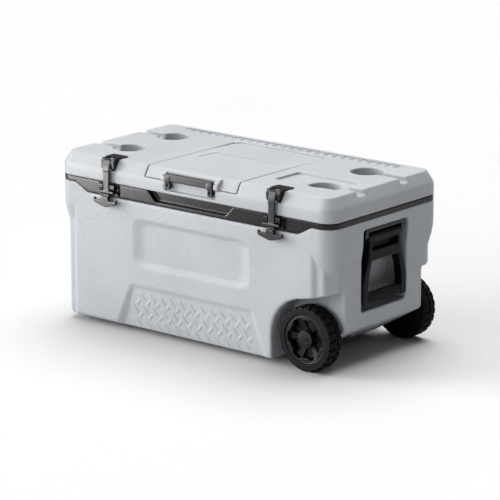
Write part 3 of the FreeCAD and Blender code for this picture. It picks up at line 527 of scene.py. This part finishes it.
def lid_solid():
    """The lid's outer form: rounded plan, upright side, bevel and flat top."""
    plan = round_rect(x, y, HALF_X, HALF_Y, CORNER)
    slope = line(plan, z, (0, SIDE_TOP), (-BEVEL_IN, LID_TOP), (-100, SIDE_TOP))
    form = both(both(plan, slope, 3), z - LID_TOP, 2.5)
    return both(form, LID_UNDER - z, 1.5)


cup = both(np.hypot(ax - 291, ay - 79) - 38, 372 - z, 5)
channel = both(both(span(ay, 67, 91), 392 - z, 4), 291 - ax, 0)
tray = both(round_rect(x - 262, y + 67.5, 88, 43.5, 8), 398 - z, 2)
lid = less(lid_solid(), either(cup, channel, 4), 3.5)
lid = less(lid, tray, 2)
hatch_seat = both(both(ax - 138, y - 133.5, 2), 377.7 - z, 1)
hatch_hole = round_rect(x, y + 20, 112, 120, 14)
lid = less(lid, hatch_seat, 1.2)
lid = less(lid, hatch_hole, 1.5)
collar_room = np.maximum(round_rect(x, y + 20, 117.2, 125.2, 19), z - 372.9)
pan_room = np.maximum(round_rect(x, y, 396.2, 191.2, 28), z - 352.4)
lid = np.maximum(lid, -np.minimum(collar_room, pan_room))
bail_room = both(both(ax - 75, y + 194, 2), span(z, 356, 384), 3)
lid = less(lid, bail_room, 2)
hinge_ear = both(both(span(ax, 129.2, 137.6), span(y, 119.8, 133), 2), span(z, 390, 403.4), 2)
lid = np.minimum(lid, hinge_ear)
skin("lid_cover", lid, lid_base, lid_step, "lid", lid_polyethylene,
     ["lid_shell"])
del lid

# %% [markdown]
# ## Hatch
# The hatch closes an opening in the middle of the lid. Its seam shows as a thin dark
# line, so it is sampled finely. The solids leave a gap of 1 mm, and it is drawn nearly
# 3 mm wide so that the line shows. A thin L-shaped groove is cut in its top, and behind
# the groove the top falls by 2.6 mm, so that the lid stands proud of it at the back.

# %% Hatch field
hatch_step = 1.0
hatch_base = (-136.2, -HALF_Y - 4.0, 378.2)
x, y, z = lattice(hatch_base, (136.2, 131.0, LID_TOP), hatch_step)
ax, ay = np.abs(x), np.abs(y)
hatch = both(round_rect(x, y + 41.55, 135.2, 160.0, 2.5), 379.2 - z, 1)
back_slope = line(y, z, (11, LID_TOP), (131, LID_TOP - 2.6), (60, 378))
hatch = both(both(hatch, lid_solid(), 1.0), back_slope, 1.0)
nose = both(line(y, z, (-188, LID_TOP), (-204.5, 393), (0, 378)),
            line(y, z, (-204.5, 393), (-205.5, 378.2), (0, 378)), 4)
boss = both(both(both(nose, ax - 86, 4), y + 180, 0), both(z - LID_TOP, 378.2 - z, 1), 3)
hatch = np.minimum(hatch, boss)
barrel = both(np.hypot(y - 126, z - 398.5) - 3.6, ax - 127.5, 1)
arm = both(both(span(y, 116, 126), span(z, 398.6, 401.6), 1), ax - 127.5, 1)
hatch = either(hatch, np.minimum(barrel, arm), 1)
bail_gap = both(both(ax - 72, y + 194.4, 2), z - 401, 2)
hatch = less(hatch, bail_gap, 1.5)
hatch = np.maximum(hatch, 2.05 - np.hypot(y - 126, z - 398.5))
groove_far = both(span(y, 6.6, 11.0), span(x, -103.0, 98), 0)
groove_near = both(span(x - (y + 53) * 0.022, -104.4, -101.4), span(y, -53, 11.0), 0)
groove = np.maximum(np.minimum(groove_far, groove_near), 400.6 - z)
hatch = less(hatch, groove, 0.3)
skin("hatch_cover", hatch, hatch_base, hatch_step, "hatch", lid_polyethylene,
     ["hatch_shell"])
del hatch

# %% [markdown]
# ## Black rim
# A nylon moulding caps the tub's edge. It is one thin band with a deeper front that
# slopes up at both ends, and a wide finger recess for opening the lid.

# %% Rim field
rim_step = 1.6
rim_base = (-HALF_X, -HALF_Y, 315.0)
x, y, z = lattice(rim_base, (HALF_X, HALF_Y, RIM_TOP), rim_step)
ax, ay = np.abs(x), np.abs(y)
outline = round_rect(x, y, HALF_X, HALF_Y, CORNER)
front_edge = both(line(ax, z, (314, 315), (351, 335), (0, 340)), 315 - z, 8)
low_edge = np.minimum(335 - z, np.maximum(front_edge, y + 186.5))
wall = both(both(outline, low_edge, 1.5), -outline - 6, 0)
flange = np.maximum(np.maximum(outline, -outline - 24), 345 - z)
block = np.maximum(np.maximum(ax - 134, y + 184.5), 315 - z)
rim = both(both(np.minimum(np.minimum(wall, flange), np.maximum(block, outline)),
                z - RIM_TOP, 1.0), outline, 1.0)
grip_side = line(ax, z, (105, 324), (128, 348), (0, 350))
rim = less(rim, both(both(grip_side, 324 - z, 3), y + 189.5, 3), 1.5)
skin("rim_band", rim, rim_base, rim_step, "tub", rim_nylon, ["rim_trim"])
del rim

# %% [markdown]
# ## T latches
# Each latch is one rubber moulding: an eye round the pin on the lid, a strap, a cross
# lug that hooks under the keeper, and a pull with two barbed wings. Both latches use
# the same field, moved to their own side.

# %% Latch straps
for name in ("left", "right"):
    strap_low, strap_high = mm("latch_strap_" + name)
    centre = (strap_low[0] + strap_high[0]) / 2
    step = 0.8
    base = (centre - 35, -218, 293)
    x, y, z = lattice(base, (centre + 35, -191, 406), step)
    u = np.abs(x - centre)
    profile = convex(y, z, [(-200, 404.8), (-206.5, 399), (-212.2, 385), (-212.2, 372),
                            (-207, 372), (-206, 384), (-199, 391)], 1.5)
    profile = either(profile, np.hypot(y + 199, z - 398) - 7, 2)
    profile = either(profile, both(span(y, -212, -207), span(z, 303, 380), 1.5), 2)
    waist = 8.6 + 1.6 * np.clip((z - 345) / 50, 0, 1) + 0.8 * np.clip((330 - z) / 20, 0, 1)
    strap = both(profile, u - waist, 1.6)
    lug = both(np.hypot(y + 209.5, z - 327.5) - 4.5, u - 23, 1.2)
    wing = convex(u, z, [(-34, 293.5), (4, 293.5), (29, 300), (35, 304.5), (35, 308.5),
                         (-34, 308.5)], 0.8)
    tip = convex(u, z, [(27, 300), (35, 303), (35, 312.5), (32, 312.5), (27, 307)], 0.8)
    stem = convex(u, z, [(-13, 296), (15, 300), (10, 318), (-10, 318)], 1.0)
    pull = both(np.minimum(np.minimum(wing, tip), stem), span(y, -218, -211.5), 1.0)
    whole = either(either(strap, lug, 1), pull, 1)
    whole = np.maximum(whole, 2.55 - np.hypot(y + 199, z - 398))
    skin("strap_" + name, whole, base, step, "latch_" + name, latch_rubber,
         ["latch_strap_" + name])

# %% [markdown]
# ## Hatch latch
# A stiff bar with two legs. Each leg has a small square window above its hook, where
# the mould core pulls out. The bar turns on a pin, so a round bore is left for it.

# %% Hatch latch
step = 0.8
base, top = mm("hatch_latch")
x, y, z = lattice(base, top, step)
ax = np.abs(x)
bar = both(both(ax - 70.5, span(y, -206.5, -198), 2.5), span(z, 379, 397.5), 2.5)
leg = both(both(span(ax, 56, 70.5), span(y, -206.5, -199), 1.5), span(z, 361, 390), 1.5)
hook = both(both(span(ax, 57.5, 68.5), span(y, -203, -196), 1), span(z, 361, 364), 1)
latch = np.minimum(either(bar, leg, 3), hook)
slot_cut = np.maximum(np.maximum(span(ax, 60, 66.5), span(z, 366.5, 374)), y + 203)
latch = less(latch, slot_cut, 0.6)
latch = np.maximum(latch, 2.05 - np.hypot(y + 202, z - 391))
skin("hatch_pull", latch, base, step, "hatch_latch", latch_rubber,
     ["hatch_latch"])

# %% [markdown]
# ## End handles
# The handles are open nylon frames: a round barrel on the pin, a window under it, two
# arms that spread, and a cross bar with a soft sleeve. The far one is the same field
# with its length axis turned round.

# %% Handles
for name, side in (("left", -1), ("right", 1)):
    step = 1.0
    low, high = mm("carry_handle_" + name)
    x, y, z = lattice(low, high, step)
    d, ay = side * x, np.abs(y)
    plate = convex(ay, z, [(-58, 296), (56, 296), (60, 244), (-60, 244)], 2)
    plate = either(plate, convex(ay, z, [(-60, 250), (58, 250), (80, 190), (80, 139),
                                         (-80, 139)], 4), 3)
    opening = convex(ay, z, [(-48, 237), (48, 237), (61, 188), (61, 163), (-61, 163)], 5)
    frame_part = both(less(plate, opening, 2), span(d, 383, 404), 2.5)
    upper_window = both(both(ay - 48, span(z, 261, 279), 3), 390 - d, 2)
    hollow = both(both(ay - 48, span(z, 246, 279), 3), d - 386, 1)
    frame_part = less(less(frame_part, upper_window, 1.2), hollow, 1)
    bar_room = both(both(ay - 60, span(z, 130, 163), 0), span(d, 300, 420), 0)
    frame_part = np.maximum(frame_part, -bar_room)
    core_bar = both(np.hypot(d - 393.5, z - 151) - 9, ay - 61, 0)
    barrel = both(np.hypot(d - 394, z - 292) - 11, ay - 60, 2)
    handle_field = either(np.minimum(frame_part, core_bar), barrel, 2)
    handle_field = np.maximum(handle_field, 4.05 - np.hypot(d - 394, z - 292))
    skin("handle_frame_" + name, handle_field, low, step, "handle_" + name, handle_nylon,
         ["carry_handle_" + name])
    low, high = mm("handle_grip_" + name)
    x, y, z = lattice(low, high, step)
    d, ay = side * x, np.abs(y)
    sleeve = both(round_rect(d - 393.5, z - 151, 10.5, 12, 7), ay - 60, 2)
    sleeve = sleeve + 0.5 * (ay / 60) ** 2
    sleeve = np.maximum(sleeve, 8.9 - np.hypot(d - 393.5, z - 151))
    skin("handle_sleeve_" + name, sleeve, low, step, "handle_" + name, grip_rubber,
         ["handle_grip_" + name])

# %% [markdown]
# ## Wheels
# A wheel is easiest in polar form: how far a point is from the axle, its angle, and how
# far out it sits. The tread is one zigzag groove round the middle with cross grooves
# that alternate from side to side. The rim has a scalloped ring round a dish with six
# short spokes.

# %% Wheel fields
for name, side in (("front", -1), ("back", 1)):
    step = 1.0
    low, high = mm("tyre_" + name)
    x, y, z = lattice(low, high, step)
    radius = np.hypot(x - WHEEL_X, z - WHEEL_Z)
    angle = np.arctan2(z - WHEEL_Z, x - WHEEL_X)
    out = side * y - abs(WHEEL_Y)
    turns = angle * 24 / (2 * np.pi)
    tyre = both(both(radius - 75, np.abs(out) - 21.5, 6), 57 - radius, 0)
    tyre = both(tyre, (radius - 75) * 0.82 + (np.abs(out) - 17.5) * 0.57, 2)
    zigzag = 4 * np.abs((turns % 1) - 0.5) * 2 - 4
    centre_groove = np.abs(out - zigzag) - 2.2
    half = np.where(out > 0, 0.0, 0.5)
    slant = (turns + half + 0.012 * np.abs(out)) % 1 - 0.5
    cross_groove = np.maximum(np.abs(slant) * 2 * np.pi / 24 * 75 - 2.6, 3 - np.abs(out))
    mid_groove = np.maximum(np.abs(np.abs(out) - 11.5) - 0.9, 73 - radius)
    grooves = np.minimum(np.maximum(np.minimum(centre_groove, cross_groove), 70.5 - radius),
                         mid_groove)
    tyre = less(tyre, grooves, 0.6)
    step_line = np.maximum(np.abs(radius - 66) - 0.8, 20.9 - np.abs(out))
    tyre = np.maximum(tyre, -step_line)
    skin("tyre_tread_" + name, tyre, low, step, "wheel_" + name, tyre_rubber,
         ["tyre_" + name])
    low, high = mm("rim_" + name)
    x, y, z = lattice(low, high, step)
    radius = np.hypot(x - WHEEL_X, z - WHEEL_Z)
    angle = np.arctan2(z - WHEEL_Z, x - WHEEL_X)
    out = side * y - abs(WHEEL_Y)
    disc = both(radius - 57, np.abs(out) - 20.3, 1.5)
    scallop = 46.5 + 3.0 * np.clip(2.4 * np.cos(6 * angle), -1, 1)
    dish = both(both(radius - scallop, 20 - radius, 2), -1 - out, 2)
    well_back = both(both(radius - 50, 20 - radius, 2), out + 6, 2)
    wheel = less(less(disc, dish, 1.5), well_back, 1)
    sector = (6 * angle / (2 * np.pi) + 0.5) % 1 - 0.5
    spoke = np.abs(sector) * 2 * np.pi / 6 * radius - (5.0 + 0.16 * (radius - 20))
    spoke = both(both(spoke, np.maximum(radius - 52, 18 - radius), 1.5),
                 out - 5 - 0.20 * (radius - 30), 1.5)
    spoke = np.maximum(spoke, -2 - out)
    wheel = either(wheel, spoke, 1.5)
    ring = np.maximum(np.abs(radius - 53) - 0.8, 19.3 - out)
    wheel = np.maximum(wheel, -ring)
    wheel = np.maximum(wheel, 9 - radius)
    skin("wheel_rim_" + name, wheel, low, step, "wheel_" + name, rim_plastic,
         ["rim_" + name])
    low, high = mm("hub_cap_" + name)
    step /= 2
    x, y, z = lattice(low, high, step)
    radius = np.hypot(x - WHEEL_X, z - WHEEL_Z)
    out = side * y - abs(WHEEL_Y)
    cap = both(radius - 20, np.abs(out - 20.4) - 2.0, 1.6)
    cap = both(cap, (out - 22.3) * 0.98 + (radius - 8) * 0.12, 0.5)
    for ring_at in (7.5, 12.5, 16.5):
        cap = less(cap, np.maximum(np.abs(radius - ring_at) - 0.7, 21.3 - out
                                   + 0.10 * (radius - 8)), 0.3)
    skin("hub_button_" + name, cap, low, step, "wheel_" + name, rim_plastic,
         ["hub_cap_" + name])

# %% [markdown]
# ## Ruler on the lid
# The flat strip behind the hatch carries a 25 inch rule, moulded proud of the lid. Each
# tick is a low bar with sloping sides, so that it would leave the mould, and the ticks
# stand a quarter of an inch apart. The numerals are the plain font that comes with
# Blender, given a thickness and gathered into one mesh, so that they make one piece.

# %% Ruler ticks and numerals
INCH = 25.4
RULE_START = -12.5 * INCH
verts, faces = [], []
for mark in range(101):
    tick_x = RULE_START + mark * INCH / 4
    long = 11.0 if mark % 4 == 0 else 7.5 if mark % 2 == 0 else 5.0
    start = len(verts)
    for z_at, grow in ((LID_TOP - 0.6, 1.3), (LID_TOP + 1.5, 0.7)):
        for sx, y_at in ((-1, 166 + grow), (1, 166 + grow), (1, 166 - long - grow),
                         (-1, 166 - long - grow)):
            verts.append(((tick_x + sx * grow) / 1000, y_at / 1000, z_at / 1000))
    faces += [[start + i for i in (7, 6, 5, 4)]]
    faces += [[start + i, start + (i + 1) % 4, start + (i + 1) % 4 + 4, start + i + 4][::-1]
              for i in range(4)]
tick_mesh = bpy.data.meshes.new("lid_ruler")
tick_mesh.from_pydata(verts, [], faces)
tick_mesh.materials.append(lid_polyethylene)
ticks = bpy.data.objects.new("lid_ruler", tick_mesh)
scene.collection.objects.link(ticks)
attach(ticks, "lid")

verts, faces = [], []
for inch in range(1, 26):
    letters = bpy.data.curves.new(f"numeral_{inch}", "FONT")
    letters.body = str(inch)
    letters.size, letters.extrude, letters.align_x = 0.0095, 0.0009, "CENTER"
    holder = bpy.data.objects.new(letters.name, letters)
    flat = holder.to_mesh()
    start = len(verts)
    shift = Vector(((RULE_START + inch * INCH) / 1000, 0.1445, (LID_TOP + 0.3) / 1000))
    verts += [tuple(v.co + shift) for v in flat.vertices]
    faces += [[start + i for i in face.vertices] for face in flat.polygons]
    holder.to_mesh_clear()
    bpy.data.objects.remove(holder)
    bpy.data.curves.remove(letters)
numeral_mesh = bpy.data.meshes.new("lid_numerals")
numeral_mesh.from_pydata(verts, [], faces)
numeral_mesh.materials.append(lid_polyethylene)
numerals = bpy.data.objects.new("lid_numerals", numeral_mesh)
scene.collection.objects.link(numerals)
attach(numerals, "lid")
print("ruler:", len(tick_mesh.polygons), "tick faces,", len(faces), "numeral faces")

# %% [markdown]
# ## Ice chamber
# Only the open lid shows this piece. It is a deep white tub with a shelf over the
# wheels, and every inside corner is round so that it wipes clean. The outer and the
# inner face are the same shape at two sizes, 4 mm apart.

# %% Liner


def chamber(grow, low):
    """The chamber's shape, grown outwards by some mm; low is the radius at the floor."""
    plan = round_rect(x, y, 325 + grow, 152 + grow, 30 + grow)
    deep = round_rect(x + 60, y, 265 + grow, 152 + grow, 30 + grow)
    return np.minimum(both(plan, 211 - grow - z, low), both(deep, 40 - grow - z, low))


liner_step = 2.0
liner_base = (-382.5, -177.5, 36)
x, y, z = lattice(liner_base, (382.5, 177.5, 348), liner_step)
flange = both(round_rect(x, y, 382.5, 177.5, 26), span(z, 345, 348), 0.8)
liner = less(np.minimum(both(chamber(4, 14), z - 348, 0), flange), chamber(0, 12), 1.5)
drain = np.maximum(np.hypot(y + 30, z - 47) - 9, 180 - x)
liner = np.maximum(liner, -drain)
skin("ice_chamber", liner, liner_base, liner_step, "tub", liner_polyethylene,
     ["inner_liner"])
del liner

# %% [markdown]
# ## Soft edges on the small hardware
# Hinges, brackets, keepers and feet are small mouldings with simple shapes. They stay
# as they come from the CAD, and a bevel modifier rounds the edges that catch light.

# %% Bevels on the CAD pieces
rounded = 0
for name, node in frame["nodes"].items():
    if name.startswith(("hinge_leaf", "hinge_base", "latch_mount", "latch_keeper",
                        "handle_mount", "hatch_keeper", "foot")):
        soft = node.modifiers.new("soft_edges", "BEVEL")
        soft.width, soft.segments, soft.angle_limit = 0.0008, 2, math.radians(40)
        soft.limit_method = "ANGLE"
        soft.harden_normals = False
        rounded += 1
print("bevelled CAD pieces:", rounded)
